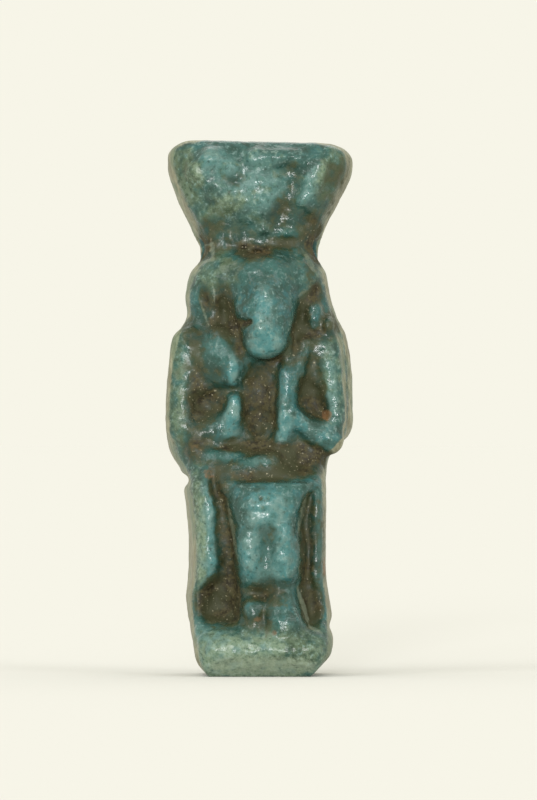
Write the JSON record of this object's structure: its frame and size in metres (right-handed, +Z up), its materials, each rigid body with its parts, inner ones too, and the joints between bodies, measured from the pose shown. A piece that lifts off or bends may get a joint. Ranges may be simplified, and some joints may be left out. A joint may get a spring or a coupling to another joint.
{
  "type": "figurine amulet",
  "caption": "Moulded blue-green faience amulet of the seated cow-headed goddess Hathor, with a flaring crown, block throne, back pillar and a cord hole through the neck.",
  "frame": {"origin": "centre of the base's flat underside, level with the figure's middle plane and half-way between its back and its front", "axes": "+Z up along the standing figure, +X to the right of someone facing it, so the figure faces -Y and its back pillar is flat towards +Y"},
  "size_m": [0.0105, 0.01, 0.03],
  "materials": {
    "faience_glaze": "satin"
  },
  "bodies": {
    "root": {"hathor_amulet": "faience_glaze"}
  },
  "joints": []
}
